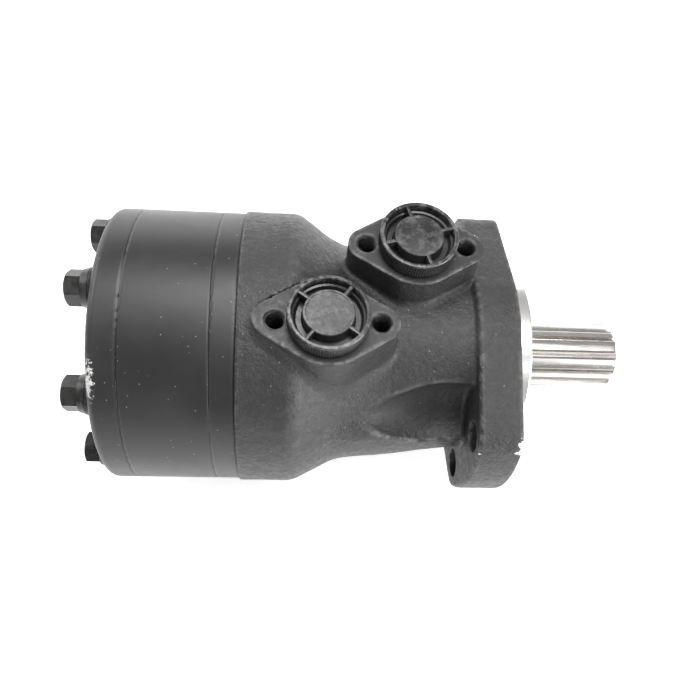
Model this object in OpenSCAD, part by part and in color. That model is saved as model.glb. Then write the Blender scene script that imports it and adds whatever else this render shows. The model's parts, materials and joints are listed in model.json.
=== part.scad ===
// Orbital hydraulic motor with a spool valve on its output shaft.
//
// Frame: the origin is on the shaft axis, in the plane of the mounting flange's front face.
// +X runs along the output shaft, away from the motor, and +Z is the side with the two ports.
// The motor bolts to a machine by its flange, with the round pilot (spigot) in the machine's bore.
// From front to rear: output shaft, cast housing with ports, distributor plate, ring gear, end cap.

/* [Mounting flange] */
// Radius of the pilot that centres the motor
pilot_r = 41.25; // [40.5:0.05:41.5]
// How far the pilot stands out of the mounting face
pilot_len = 6.35; // [6:0.05:7]
// Thickness of the flange
flange_t = 18.2; // [18.1:0.1:18.5]
// Half height of the flange, from the axis to the crown of its sides
flange_half_h = 46; // [45.5:0.5:48]
// Radius of the flange's two ends
flange_end_r = 64.6; // [64:0.2:66]
// Slope of the flange's straight sides, in degrees
flange_slope = 17.3; // [17:0.1:18]
// Pitch circle diameter of the four mounting holes
mount_pcd = 106.4; // [106:0.1:107]
// Angle of each mounting hole from the flange's long axis, in degrees
mount_angle = 21.5; // [21:0.1:22]
// Radius of the mounting holes
mount_hole_r = 6.75; // [5.5:0.05:7]

/* [Housing] */
// Outer radius of the housing's rear drum
drum_r = 62; // [61.5:0.1:62.5]
// Radius of the shoulder between the cone and the neck
shoulder_r = 49.4; // [49:0.1:50]
// Radius of the neck behind the flange
neck_r = 41.8; // [41.5:0.1:42.5]
// Where the cone meets the drum
cone_rear_x = -94.3; // [-95:0.1:-93]
// Where the cone meets the shoulder
cone_front_x = -71; // [-72:0.5:-70]
// Rear face of the housing
housing_rear_x = -117.6; // [-118:0.1:-117]

/* [Ports] */
// Height of the machined port faces above the shaft axis
port_z = 61; // [60.5:0.1:61.4]
// Position of port A along the shaft
port_a_x = -82.1; // [-82.5:0.1:-82]
// Position of port B along the shaft
port_b_x = -45.9; // [-46:0.1:-45.7]
// Sideways offset of the ports, A to -Y and B to +Y
port_y = 18.3; // [18:0.1:18.6]
// Spacing of the two tapped holes beside each port
port_screw_pitch = 41.2; // [41.1:0.1:41.6]
// Radius of the round middle of a port pad
pad_r = 18.5; // [18:0.1:19]
// Radius of a pad's two ends
pad_end_r = 7.6; // [7.6:0.1:8]

/* [Rear sections] */
// Outer radius of the plate, ring gear and end cap
section_r = 61.2; // [61:0.1:61.5]
// Thickness of the distributor plate
plate_t = 9.9; // [9:0.1:10.5]
// Thickness of the ring gear, which sets the displacement
ring_t = 34.5; // [30:0.1:40]
// Thickness of the end cap
cap_t = 12.1; // [11:0.1:14]
// Pitch circle radius of the end cap bolts
bolt_pcr = 48.5; // [48:0.1:48.7]

/* [Gear set] */
// Eccentricity of the rotor
ecc = 3.7; // [3.5:0.05:3.8]
// Radius of the circle through the rollers' centres
roller_pcr = 38.5; // [38.3:0.1:38.7]
// Radius of the rollers
roller_r = 7.8; // [7.7:0.05:7.9]

/* [Output shaft] */
// Outer radius of the output spline
spline_r = 15.61; // [15.5:0.01:15.8]
// Radius at the bottom of the output spline
spline_root_r = 13.5; // [13.3:0.05:13.8]
// End of the shaft in front of the mounting face
shaft_end_x = 56.9; // [50:0.1:62]
// Number of output spline teeth
spline_teeth = 14; // [13:1:15]

/* [Hidden] */
$fn = 64;
// Allowance that makes a cutting body reach past the face it cuts
cut = 1;
// Running clearance between a shaft and its bore
run = 0.05;

// Stations along the shaft, from the ring gear's front to the heads of the bolts
plate_rear_x = housing_rear_x - plate_t;
ring_rear_x = plate_rear_x - ring_t;
cap_rear_x = ring_rear_x - cap_t;

// End cap bolts: M8 flanged hexagon screws on sealing washers
bolts = 7;
bolt_step = 360 / bolts;
bolt_r = 4;
bolt_hole_r = 4.5;
bolt_tap_r = 4.1;
bolt_depth = 18;
washer_r = 9;
washer_t = 1.6;
bolt_flange_t = 3.4;
bolt_head_t = 6.6;
bolt_af = 13;
cap_rim_r = 3.5;

// Section seals
seal_pcr = 56.6;
seal_r = 1.2;
seal_groove_w = 3;

// Gear set
rotor_clear = 0.1;
rotor_lobes = 6;
rotor_steps = 360;
side_clear = 0.05;
ring_land_r = roller_pcr - roller_r + 2 * ecc + 0.2;
pocket_r = roller_r + run;

// Drive link: a dumbbell with a crowned spline at each end
link_front_x = -42;
link_rear_x = (plate_rear_x + ring_rear_x) / 2;
link_tilt = atan(ecc / (link_front_x - link_rear_x));
link_body_r = 9.5;
link_teeth = 12;
link_tip_r = 13.4;
link_root_r = 11.4;
link_spline_len = 15;
link_end = 9;
// The hubs that the link runs in have the same teeth, wider by this much
link_clear = 0.6;
spacer_r = 11.2;
spacer_t = 6;

// Spool valve on the shaft and the bore that it runs in
spool_r = 26;
bore_r = spool_r + run;
spool_rear_x = -115.8;
spool_hollow_r = 15.5;
spool_floor_x = -29;
groove_r = 30;
groove_w = 14;
spool_groove_r = 22.5;
spool_groove_w = 11;
slot_w = 4.5;
slot_r = 22.8;
slots = 6;
window_x = (port_a_x + port_b_x) / 2;
slot_overlap = 3.5;
channel_pcr = 37;
channel_r = 2.8;

// Thrust bearing and seals at the front of the housing
bearing_front_x = -18.5;
race_t = 1;
needle_r = 1.5;
needle_len = 4.6;
needles = 20;
bearing_in_r = 18.4;
bearing_out_r = 25.7;
cage_t = 1.6;
journal_r = 17.5;
journal_bore_r = journal_r + run;
seal_pocket_r = 25;
seal_pocket_x = -10.6;
backup_t = 1.9;
shaft_seal_t = 8;
dust_seal_t = 6;
garter_r = 0.8;

// Ports and their shipping plugs
port_thread_r = 11.3;
port_depth = 19;
port_drill_r = 6.5;
port_floor_z = 15;
pad_screw_r = 3.4;
pad_screw_depth = 16;
port_face_margin = 1.5;
port_face_cut = 3;
plug_cap_r = 16;
plug_cap_h = 8;
plug_wall = 1.6;
plug_shank_r = 11.1;
plug_shank_len = 13;
plug_disc_r = 10;
plug_web = 1.6;
plug_seal_r = 1.2;
plug_gap = 2;

// Drain port on the side away from the ports
drain_x = -33;
drain_r = 6.2;
drain_face_z = -39.5;
drain_depth = 11;
drain_spot_r = 10.5;

// Check valves in the housing's rear face
check_r = 3;
check_bore_r = 3.15;
check_depth = 9;
check_feed_r = 1.6;
check_a_pcr = 31;
check_b_pcr = 36;
check_b_end_x = -48;
check_angle = 270 - bolt_step;

// The shoulder runs down to the neck between these two stations
shoulder_front_x = -61.5;
neck_rear_x = -30;

// Relief for wrenches behind the four mounting holes: a groove that tapers off towards the rear
scoop_r = 18.5;
scoop_end_r = 4;
scoop_pcr = 53;
scoop_angle = 27.2;
scoop_turn_x = -32;
scoop_end_x = -69;

// Shaft end
shaft_chamfer = 1.8;
shaft_tap_r = 4.25;
shaft_tap_depth = 22;
spline_start_x = 12;

// Small clearances and steps of the inner parts
hollow_step = 12;
backup_gap = 0.3;
plug_seal_gap = 0.4;
plug_seal_inset = 0.42;
plug_seal_slim = 0.25;

// Steps that arcs and round sections are drawn in
corner_steps = 6;
pad_end_steps = 8;
pad_side_steps = 10;
o_ring_steps = 96;
cord_steps = 24;

// Depths, widths and turns of the details
pad_foot_z = 30;
gallery_half = 2.5;
gallery_wall = 3;
drain_spot_reach = 10;
drain_drill_r = 2.2;
link_root_w = 9;
link_tip_w = 4.6;
widen = 2.4;
link_crown = 0.6;
journal_rear_x = -30;
journal_step = 0.6;
shoulder_step = 2.5;
chamfer_land = 0.3;
spline_root_w = 8.6;
spline_tip_w = 2.6;
tap_chamfer = 1.6;
slot_turn_a = 15;
slot_turn_b = 45;
spool_drain_r = 1.8;
cage_gap = 0.2;
needle_gap = 0.05;
needle_slim = 0.02;
lip_gap = 3.4;
lip_x = 5;
wiper_t = 3;
wiper_rear = 3;
wiper_front = 4.5;
web_turn = 45;
drain_head_z = 5.5;
drain_head_t = 4;
drain_head_r = 9.2;
drain_neck = 1.6;
drain_key = 6;
drain_washer_t = 1.5;
drain_washer_r = 9;

// ---------- helpers ----------

// Places a drawing in the Y-Z plane at x, so that it extrudes along +X
module at_x(x) translate([x, 0, 0]) rotate([90, 0, 90]) children();

// A round bar along X from x0 to x1
module bar(x0, x1, r, r_end = 0)
    at_x(x0) cylinder(h = x1 - x0, r1 = r, r2 = r_end > 0 ? r_end : r);

// A ring along X from x0 to x1
module ring(x0, x1, r_out, r_in) difference() {
    bar(x0, x1, r_out);
    bar(x0 - cut, x1 + cut, r_in);
}

// Repeats its children n times round the X axis, the first one turned by start
module around(n, start = 0) for (i = [0:n - 1]) rotate([start + i * 360 / n, 0, 0]) children();

// A point at radius r and angle a
function polar(r, a) = [r * cos(a), r * sin(a)];

// Points of an arc about c from angle a0 to a1
function arc(c, r, a0, a1, steps) = [for (i = [0:steps]) c + polar(r, a0 + (a1 - a0) * i / steps)];

// Outline of a toothed hub: straight flanks between a root and a tip radius
module spline_outline(n, root_r, tip_r, root_half, tip_half) polygon([for (i = [0:n - 1])
    for (c = [[root_r, -root_half], [tip_r, -tip_half], [tip_r, tip_half], [root_r, root_half]])
        polar(c[0], i * 360 / n + c[1])]);

// Teeth of the drive link, grown by grow on every side
module link_outline(grow = 0) spline_outline(link_teeth, link_root_r + grow, link_tip_r + grow,
    link_root_w + grow * widen, link_tip_w + grow * widen);

// An O-ring about the X axis
module o_ring(x, ring_r, r) at_x(x) rotate_extrude($fn = o_ring_steps) translate([ring_r, 0]) circle(r, $fn = cord_steps);

// ---------- housing ----------

// A quarter of the flange's outline, from the crown of the side to the middle of the end
corner_r = 3;
corner_side = flange_half_h - corner_r;
corner_end = flange_end_r - corner_r;
corner_along = sqrt(corner_end * corner_end - corner_side * corner_side);
corner_a = 90 - flange_slope - atan(corner_along / corner_side);
quarter = concat(
    arc([0, 0], flange_end_r, 0, corner_a, corner_steps),
    arc(polar(corner_end, corner_a), corner_r, corner_a, 90 - flange_slope, corner_steps),
    arc([0, 0], flange_half_h, 90 - flange_slope, 90, corner_steps));

module flange_outline() {
    n = len(quarter);
    polygon(concat(
        quarter,
        [for (i = [n - 2:-1:0]) [-quarter[i][0], quarter[i][1]]],
        [for (i = [1:n - 1]) [-quarter[i][0], -quarter[i][1]]],
        [for (i = [n - 2:-1:1]) [quarter[i][0], -quarter[i][1]]]));
}

// A port pad: a round middle that runs by straight sides into two smaller round ends
pad_half = port_screw_pitch / 2;
pad_tangent = acos((pad_r - pad_end_r) / pad_half);
module pad_outline(grow = 0) polygon(concat(
    arc([pad_half, 0], pad_end_r + grow, -pad_tangent, pad_tangent, pad_end_steps),
    arc([0, 0], pad_r + grow, pad_tangent, 180 - pad_tangent, pad_side_steps),
    arc([-pad_half, 0], pad_end_r + grow, 180 - pad_tangent, 180 + pad_tangent, pad_end_steps),
    arc([0, 0], pad_r + grow, 180 + pad_tangent, 360 - pad_tangent, pad_side_steps)));

module port_pad(x, y) translate([x, y, pad_foot_z]) linear_extrude(port_z - pad_foot_z) pad_outline();

module port_cuts(x, y) translate([x, y, port_z]) {
    translate([0, 0, -port_depth]) cylinder(h = port_depth + cut, r = port_thread_r);
    translate([0, 0, port_floor_z - port_z]) cylinder(h = port_z - port_floor_z, r = port_drill_r);
    for (s = [-1, 1]) translate([s * pad_half, 0, -pad_screw_depth])
        cylinder(h = pad_screw_depth + cut, r = pad_screw_r);
    // the facing cut that takes the drum's crown down to the pad
    linear_extrude(port_face_cut) pad_outline(port_face_margin);
}

// One wrench relief, above the shaft axis
module scoop() translate([0, 0, scoop_pcr]) {
    bar(scoop_turn_x, -flange_t, scoop_r);
    bar(scoop_end_x, scoop_turn_x, scoop_end_r, scoop_r);
}

// The casting's outside, with no bores
module housing_body() union() {
    difference() {
        union() {
            bar(housing_rear_x, cone_rear_x, drum_r);
            bar(cone_rear_x, cone_front_x, drum_r, shoulder_r);
            bar(cone_front_x, shoulder_front_x, shoulder_r);
            bar(shoulder_front_x, neck_rear_x, shoulder_r, neck_r);
            bar(neck_rear_x, -flange_t, neck_r);
        }
        for (side = [90, 270]) for (a = [-scoop_angle, scoop_angle]) rotate([side + a, 0, 0]) scoop();
    }
    port_pad(port_a_x, -port_y);
    port_pad(port_b_x, port_y);
}

// Spool bore with its two annular port grooves, the drain chamber and the seal pocket
module housing_bore() {
    bar(housing_rear_x - cut, bearing_front_x, bore_r);
    for (x = [port_a_x, port_b_x]) bar(x - groove_w / 2, x + groove_w / 2, groove_r);
    bar(drain_x - gallery_half, bearing_front_x - gallery_wall, bore_r + 1);
    bar(bearing_front_x - cut, seal_pocket_x + cut, journal_bore_r);
    bar(seal_pocket_x, pilot_len + cut, seal_pocket_r);
}

// Seven channels lead from the spool's windows back to the gear set's chambers
module chamber_channels() around(bolts) {
    translate([0, 0, channel_pcr]) bar(housing_rear_x - cut, window_x, channel_r);
    translate([window_x, 0, spool_r - cut]) cylinder(h = channel_pcr - spool_r + cut, r = channel_r);
}

// A drilled boss face with its tapped hole and the passage to the drain chamber
module drain_cuts() translate([drain_x, 0, drain_face_z]) {
    translate([0, 0, -drain_spot_reach]) cylinder(h = drain_spot_reach, r = drain_spot_r);
    translate([0, 0, -cut]) cylinder(h = drain_depth + cut, r = drain_r);
    cylinder(h = -drain_face_z - spool_r, r = drain_drill_r);
}

// Pocket for a check ball, and the drilling that feeds it
module check_cuts(angle, pcr, feed_x) rotate([angle - 90, 0, 0]) translate([0, 0, pcr]) {
    bar(housing_rear_x - cut, housing_rear_x + check_depth, check_bore_r);
    bar(housing_rear_x, feed_x, check_feed_r);
}

module housing() color([0.13, 0.13, 0.135]) difference() {
    union() {
        housing_body();
        at_x(-flange_t) linear_extrude(flange_t) flange_outline();
        bar(-cut, pilot_len, pilot_r);
    }
    housing_bore();
    chamber_channels();
    port_cuts(port_a_x, -port_y);
    port_cuts(port_b_x, port_y);
    drain_cuts();
    check_cuts(check_angle, check_a_pcr, port_a_x);
    check_cuts(-check_angle + 180, check_b_pcr, check_b_end_x);
    rotate([90 - check_angle, 0, 0]) translate([check_b_end_x, 0, groove_r - 2])
        cylinder(h = check_b_pcr - groove_r + 2, r = check_feed_r);
    around(bolts) translate([0, 0, bolt_pcr]) bar(housing_rear_x - cut, housing_rear_x + bolt_depth,
        bolt_tap_r);
    ring(housing_rear_x - cut, housing_rear_x + 2 * seal_r, seal_pcr + seal_groove_w / 2,
        seal_pcr - seal_groove_w / 2);
    for (s = [-1, 1]) for (t = [-1, 1])
        translate([0, s * mount_pcd / 2 * cos(mount_angle), t * mount_pcd / 2 * sin(mount_angle)])
            bar(-flange_t - cut, cut, mount_hole_r);
}

// ---------- rear sections ----------

module bolt_holes(x0, x1) around(bolts) translate([0, 0, bolt_pcr]) bar(x0 - cut, x1 + cut, bolt_hole_r);

module distributor_plate() color([0.16, 0.16, 0.165]) difference() {
    bar(plate_rear_x, housing_rear_x, section_r);
    bar(plate_rear_x - cut, housing_rear_x + cut, link_tip_r + ecc + 1);
    bolt_holes(plate_rear_x, housing_rear_x);
    around(bolts) translate([0, 0, channel_pcr]) bar(plate_rear_x - cut, housing_rear_x + cut, channel_r);
    ring(plate_rear_x - cut, plate_rear_x + 2 * seal_r, seal_pcr + seal_groove_w / 2,
        seal_pcr - seal_groove_w / 2);
}

module ring_gear() color([0.15, 0.15, 0.155]) difference() {
    bar(ring_rear_x, plate_rear_x, section_r);
    bar(ring_rear_x - cut, plate_rear_x + cut, ring_land_r);
    around(bolts, bolt_step / 2) translate([0, 0, roller_pcr]) bar(ring_rear_x - cut,
        plate_rear_x + cut, pocket_r);
    bolt_holes(ring_rear_x, plate_rear_x);
    ring(ring_rear_x - cut, ring_rear_x + 2 * seal_r, seal_pcr + seal_groove_w / 2,
        seal_pcr - seal_groove_w / 2);
}

module end_cap() color([0.15, 0.15, 0.155]) difference() {
    at_x(cap_rear_x) rotate_extrude() polygon(concat(
        [[0, 0]], arc([section_r - cap_rim_r, cap_rim_r], cap_rim_r, -90, 0, corner_steps),
        [[section_r, cap_t], [0, cap_t]]));
    bolt_holes(cap_rear_x, ring_rear_x);
}

module end_cap_bolt() {
    seat_x = cap_rear_x - washer_t;
    flange_x = seat_x - bolt_flange_t;
    bar(flange_x, seat_x, bolt_af / 2, washer_r - 0.5);
    at_x(flange_x - bolt_head_t) cylinder(h = bolt_head_t, r = bolt_af / 2 / cos(30), $fn = 6);
    bar(seat_x, housing_rear_x + bolt_depth - 2, bolt_r);
}

module end_cap_bolts() color([0.09, 0.09, 0.09]) around(bolts) translate([0, 0, bolt_pcr]) end_cap_bolt();

module bolt_washers() color([0.12, 0.12, 0.12])
    around(bolts) translate([0, 0, bolt_pcr]) ring(cap_rear_x - washer_t, cap_rear_x, washer_r,
        bolt_hole_r);

module housing_seal() color("black") o_ring(housing_rear_x + seal_r, seal_pcr, seal_r);
module plate_seal() color("black") o_ring(plate_rear_x + seal_r, seal_pcr, seal_r);
module end_cap_seal() color("black") o_ring(ring_rear_x + seal_r, seal_pcr, seal_r);

// ---------- gear set ----------

// Point t of the rotor: the path of a roller's centre, moved in by the roller's radius
function rotor_point(t) = let (
    n = rotor_lobes + 1,
    path = polar(roller_pcr, t) - polar(ecc, n * t),
    run_dir = [-roller_pcr * sin(t) + n * ecc * sin(n * t), roller_pcr * cos(t) - n * ecc * cos(n * t)],
    inward = [-run_dir[1], run_dir[0]] / norm(run_dir)
) path + (roller_r + rotor_clear) * inward;

// At rest the rotor's centre lies ecc below the shaft axis, in deepest mesh with the lowest roller
module rotor() color("silver") translate([0, 0, -ecc]) at_x(ring_rear_x + side_clear) difference() {
    rotate([0, 0, -90]) linear_extrude(ring_t - 2 * side_clear)
        polygon([for (i = [0:rotor_steps - 1]) rotor_point(i * 360 / rotor_steps)]);
    translate([0, 0, -cut]) linear_extrude(ring_t + 2 * cut) link_outline(link_clear);
}

module roller(i) color("silver") rotate([bolt_step * (i - 0.5), 0, 0]) translate([0, 0, roller_pcr])
    bar(ring_rear_x + side_clear, plate_rear_x - side_clear, roller_r);
module roller_1() roller(1);
module roller_2() roller(2);
module roller_3() roller(3);
module roller_4() roller(4);
module roller_5() roller(5);
module roller_6() roller(6);
module roller_7() roller(7);

// The link leans so that its rear end follows the rotor and its front end stays on the axis
module drive_link() color("lightsteelblue") translate([link_front_x, 0, 0]) rotate([0, -link_tilt, 0]) {
    len_x = (link_front_x - link_rear_x) / cos(link_tilt);
    bar(-len_x - link_end, link_end, link_body_r);
    for (x = [-len_x, 0]) intersection() {
        at_x(x - link_spline_len / 2) linear_extrude(link_spline_len) link_outline();
        union() {
            bar(x - link_spline_len / 2, x, link_tip_r - link_crown, link_tip_r);
            bar(x, x + link_spline_len / 2, link_tip_r, link_tip_r - link_crown);
        }
    }
}

module link_spacer() color("gray") translate([0, 0, -ecc])
    bar(ring_rear_x + 2 * side_clear, ring_rear_x + spacer_t, spacer_r);

// ---------- output shaft, bearing and seals ----------

module output_shaft() color([0.8, 0.79, 0.77]) difference() {
    union() {
        bar(spool_rear_x, bearing_front_x - 2 * race_t - 2 * needle_r - side_clear, spool_r);
        bar(journal_rear_x, pilot_len + journal_step, journal_r);
        bar(pilot_len + journal_step, pilot_len + shoulder_step, journal_r, spline_r);
        bar(pilot_len + shoulder_step, shaft_end_x - shaft_chamfer, spline_r);
        bar(shaft_end_x - shaft_chamfer, shaft_end_x, spline_r, spline_root_r + chamfer_land);
    }
    // output spline: the spaces between its teeth
    at_x(spline_start_x) linear_extrude(shaft_end_x) difference() {
        circle(spline_r + 2);
        spline_outline(spline_teeth, spline_root_r, spline_r + 3, spline_root_w, spline_tip_w);
    }
    bar(shaft_end_x - shaft_tap_depth, shaft_end_x + cut, shaft_tap_r);
    bar(shaft_end_x - tap_chamfer, shaft_end_x + 0.01, shaft_tap_r, shaft_tap_r + tap_chamfer);
    // hollow for the drive link
    bar(spool_rear_x - cut, link_front_x - hollow_step, spool_hollow_r);
    at_x(link_front_x - hollow_step - cut)
        linear_extrude(spool_floor_x - link_front_x + hollow_step + cut)
        link_outline(link_clear);
    // valve grooves and the slots that lead from them to the windows
    for (x = [port_a_x, port_b_x]) ring(x - spool_groove_w / 2, x + spool_groove_w / 2,
        spool_r + cut, spool_groove_r);
    around(slots, slot_turn_a) translate([port_a_x, -slot_w / 2, slot_r])
        cube([window_x + slot_overlap - port_a_x, slot_w, spool_r]);
    around(slots, slot_turn_b) translate([window_x - slot_overlap, -slot_w / 2, slot_r])
        cube([port_b_x - window_x + slot_overlap, slot_w, spool_r]);
    // leakage oil drains from the hollow to the chamber behind the thrust bearing
    around(2, 90) translate([drain_x, 0, 0]) cylinder(h = spool_r + cut, r = spool_drain_r);
}

module thrust_race_front() color("silver") ring(bearing_front_x - race_t, bearing_front_x,
    bearing_out_r, bearing_in_r);
module thrust_race_rear() color("silver") ring(bearing_front_x - 2 * race_t - 2 * needle_r - side_clear,
    bearing_front_x - race_t - 2 * needle_r - side_clear, bearing_out_r, bearing_in_r);

needle_x = bearing_front_x - race_t - needle_r - side_clear / 2;
needle_pcr = (bearing_in_r + bearing_out_r) / 2;
module needle_cage() color("goldenrod") difference() {
    ring(needle_x - cage_t / 2, needle_x + cage_t / 2, bearing_out_r - cage_gap, bearing_in_r + cage_gap);
    around(needles) translate([needle_x - cut, -needle_r - needle_gap, needle_pcr - needle_len / 2 - needle_gap])
        cube([2 * cut, 2 * (needle_r + needle_gap), needle_len + 2 * needle_gap]);
}
module thrust_needles() color("silver") around(needles)
    translate([needle_x, 0, needle_pcr - needle_len / 2]) cylinder(h = needle_len, r = needle_r - needle_slim);

module seal_backup_ring() color("ivory") ring(seal_pocket_x, seal_pocket_x + backup_t,
    seal_pocket_r, journal_r + backup_gap);

seal_x = seal_pocket_x + backup_t;
module shaft_seal() color([0.1, 0.1, 0.11]) difference() {
    ring(seal_x, seal_x + shaft_seal_t, seal_pocket_r, journal_r + run);
    ring(seal_x - cut, seal_x + shaft_seal_t - 3, seal_pocket_r - 2, journal_r + lip_gap);
    bar(seal_x + lip_x, seal_x + shaft_seal_t + cut, journal_r + 1);
}
module garter_spring() color("silver") o_ring(seal_x + 2, journal_r + lip_gap + garter_r, garter_r);

module dust_seal() color([0.1, 0.1, 0.11]) difference() {
    ring(pilot_len - 0.5 - dust_seal_t, pilot_len - 0.5, seal_pocket_r, journal_r + run);
    bar(pilot_len - wiper_t, pilot_len, journal_r + wiper_rear, journal_r + wiper_front);
}

// ---------- ports ----------

// A hollow threaded cap: knurled rim, four webs and a closed disc in the middle
module port_plug(x, y) color([0.11, 0.11, 0.115]) translate([x, y, port_z]) {
    base = 0.05;
    difference() {
        translate([0, 0, base]) cylinder(h = plug_cap_h - base, r = plug_cap_r);
        translate([0, 0, plug_gap]) cylinder(h = plug_cap_h, r = plug_cap_r - plug_wall);
    }
    translate([0, 0, plug_gap - 0.5]) difference() {
        cylinder(h = plug_cap_h - plug_gap, r = plug_disc_r);
        translate([0, 0, -plug_shank_len]) cylinder(h = plug_shank_len + 1.5, r = plug_shank_r - 3);
    }
    for (a = [web_turn:90:360]) rotate([0, 0, a]) translate([plug_disc_r - 0.5, -plug_web / 2, plug_gap - 0.5])
        cube([plug_cap_r - plug_disc_r - plug_wall / 2, plug_web, plug_cap_h - plug_gap - 0.6]);
    difference() {
        translate([0, 0, -plug_shank_len]) cylinder(h = plug_shank_len + 0.5, r = plug_shank_r);
        translate([0, 0, -plug_shank_len - cut]) cylinder(h = plug_shank_len + 0.5, r = plug_shank_r - 2.5);
        translate([0, 0, -2 * plug_seal_r]) difference() {
            cylinder(h = 2 * plug_seal_r + 0.05, r = plug_shank_r + cut);
            translate([0, 0, -cut]) cylinder(h = 2 * plug_seal_r + 2 * cut,
                r = plug_shank_r - 2 * plug_seal_r + plug_seal_gap);
        }
    }
}
module port_plug_a() port_plug(port_a_x, -port_y);
module port_plug_b() port_plug(port_b_x, port_y);

module plug_seal(x, y) color("black") translate([x, y, port_z - plug_seal_r + 0.02])
    rotate_extrude() translate([plug_shank_r - plug_seal_r + plug_seal_inset, 0])
        circle(plug_seal_r - plug_seal_slim, $fn = cord_steps);
module plug_seal_a() plug_seal(port_a_x, -port_y);
module plug_seal_b() plug_seal(port_b_x, port_y);

module drain_plug() color([0.35, 0.35, 0.36]) translate([drain_x, 0, drain_face_z]) difference() {
    union() {
        translate([0, 0, -drain_head_z]) cylinder(h = drain_head_t, r = drain_head_r);
        translate([0, 0, -drain_neck]) cylinder(h = drain_neck + drain_depth - 2, r = drain_r - 0.1);
    }
    translate([0, 0, -drain_head_z - 0.5]) cylinder(h = drain_head_z, r = drain_key / 2 / cos(30), $fn = 6);
}
module drain_washer() color("peru") translate([drain_x, 0, drain_face_z - drain_washer_t]) difference() {
    cylinder(h = drain_washer_t, r = drain_washer_r);
    translate([0, 0, -cut]) cylinder(h = drain_washer_t + 2 * cut, r = drain_r + cage_gap);
}

module check_ball(angle, pcr) color("silver") rotate([angle - 90, 0, 0])
    translate([housing_rear_x + check_depth - check_r, 0, pcr]) sphere(check_r);
module check_ball_a() check_ball(check_angle, check_a_pcr);
module check_ball_b() check_ball(-check_angle + 180, check_b_pcr);

housing();
distributor_plate();
ring_gear();
end_cap();
end_cap_bolts();
bolt_washers();
housing_seal();
plate_seal();
end_cap_seal();
shaft_seal();
garter_spring();
seal_backup_ring();
dust_seal();
thrust_race_front();
drain_plug();
drain_washer();
output_shaft();
thrust_race_rear();
needle_cage();
thrust_needles();
drive_link();
link_spacer();
rotor();
roller_1();
roller_2();
roller_3();
roller_4();
roller_5();
roller_6();
roller_7();
port_plug_a();
port_plug_b();
plug_seal_a();
plug_seal_b();
check_ball_a();
check_ball_b();
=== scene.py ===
"""Looks of the hydraulic motor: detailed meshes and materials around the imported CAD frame.

Lengths inside the mesh code are millimetres in the CAD frame; a mesh turns into metres when it is made.
"""

import itertools
import json
import math

import bpy
import numpy as np
from mathutils import Matrix, Vector


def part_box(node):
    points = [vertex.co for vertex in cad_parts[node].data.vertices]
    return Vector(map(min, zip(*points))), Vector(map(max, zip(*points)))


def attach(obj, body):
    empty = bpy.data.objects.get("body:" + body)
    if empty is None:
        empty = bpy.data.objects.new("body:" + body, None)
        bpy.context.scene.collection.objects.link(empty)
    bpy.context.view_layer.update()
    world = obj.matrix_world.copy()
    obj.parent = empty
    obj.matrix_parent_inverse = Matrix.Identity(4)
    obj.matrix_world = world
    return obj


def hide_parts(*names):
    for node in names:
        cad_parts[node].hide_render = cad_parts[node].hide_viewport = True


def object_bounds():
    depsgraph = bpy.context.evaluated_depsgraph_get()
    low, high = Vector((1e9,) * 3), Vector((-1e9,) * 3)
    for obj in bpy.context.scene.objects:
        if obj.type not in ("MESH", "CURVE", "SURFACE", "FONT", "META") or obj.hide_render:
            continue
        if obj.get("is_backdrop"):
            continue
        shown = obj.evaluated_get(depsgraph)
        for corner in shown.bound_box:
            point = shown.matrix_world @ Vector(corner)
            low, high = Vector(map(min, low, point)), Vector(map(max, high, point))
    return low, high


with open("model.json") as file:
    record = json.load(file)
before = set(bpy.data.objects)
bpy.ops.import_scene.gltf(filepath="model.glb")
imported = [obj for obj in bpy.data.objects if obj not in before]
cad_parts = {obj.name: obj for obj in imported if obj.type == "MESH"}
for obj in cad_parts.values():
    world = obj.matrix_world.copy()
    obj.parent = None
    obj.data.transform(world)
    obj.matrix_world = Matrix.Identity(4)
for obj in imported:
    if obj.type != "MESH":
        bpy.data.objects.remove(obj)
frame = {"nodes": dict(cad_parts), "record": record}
cad_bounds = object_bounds()

MM = 0.001
TAU = 2 * math.pi
RNG = np.random.default_rng(11)
NODES = frame["nodes"]
MOUNTS = {mount["name"]: mount for mount in frame["record"]["mounts"]}
COARSE = 1.0


# ---------- sizes taken from the frame, in millimetres ----------

def span(node, axis):
    """Lowest and highest coordinate of a CAD node along one axis."""
    low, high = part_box(node)
    return low[axis] / MM, high[axis] / MM


def mount_place(name):
    return [c / MM for c in MOUNTS[name]["pos_m"]]


HOUSING_REAR, PILOT_END = span("housing", 0)
DRUM_R = -span("housing", 2)[0]
FLANGE_END_R = span("housing", 1)[1]
PLATE_REAR = span("distributor_plate", 0)[0]
RING_REAR = span("ring_gear", 0)[0]
CAP_REAR = span("end_cap", 0)[0]
SECTION_R = span("end_cap", 2)[1]
WASHER_REAR = span("bolt_washers", 0)[0]
BOLT_REAR, BOLT_TIP = span("end_cap_bolts", 0)
SPOOL_REAR, SHAFT_END = span("output_shaft", 0)
SPOOL_R = span("output_shaft", 2)[1]
PORT_A = mount_place("port_a_thread")
PORT_B = mount_place("port_b_thread")
PORT_Z = PORT_A[2]
PAD_HALF = MOUNTS["port_a_bolts"]["dims"]["spacing_x_mm"] / 2
SCREW_CORE_R = MOUNTS["port_a_bolts"]["dims"]["hole_r_mm"]
PILOT_R = MOUNTS["pilot"]["dims"]["r_mm"]
MOUNT_Y = MOUNTS["flange_bolts"]["dims"]["spacing_x_mm"] / 2
MOUNT_Z = MOUNTS["flange_bolts"]["dims"]["spacing_y_mm"] / 2
MOUNT_HOLE_R = MOUNTS["flange_bolts"]["dims"]["hole_r_mm"]
DRAIN_X = sum(span("drain_plug", 0)) / 2
DRAIN_FACE = span("drain_washer", 2)[1]
SHAFT_TAP_R = MOUNTS["shaft_end_thread"]["dims"]["r_mm"]

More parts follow.
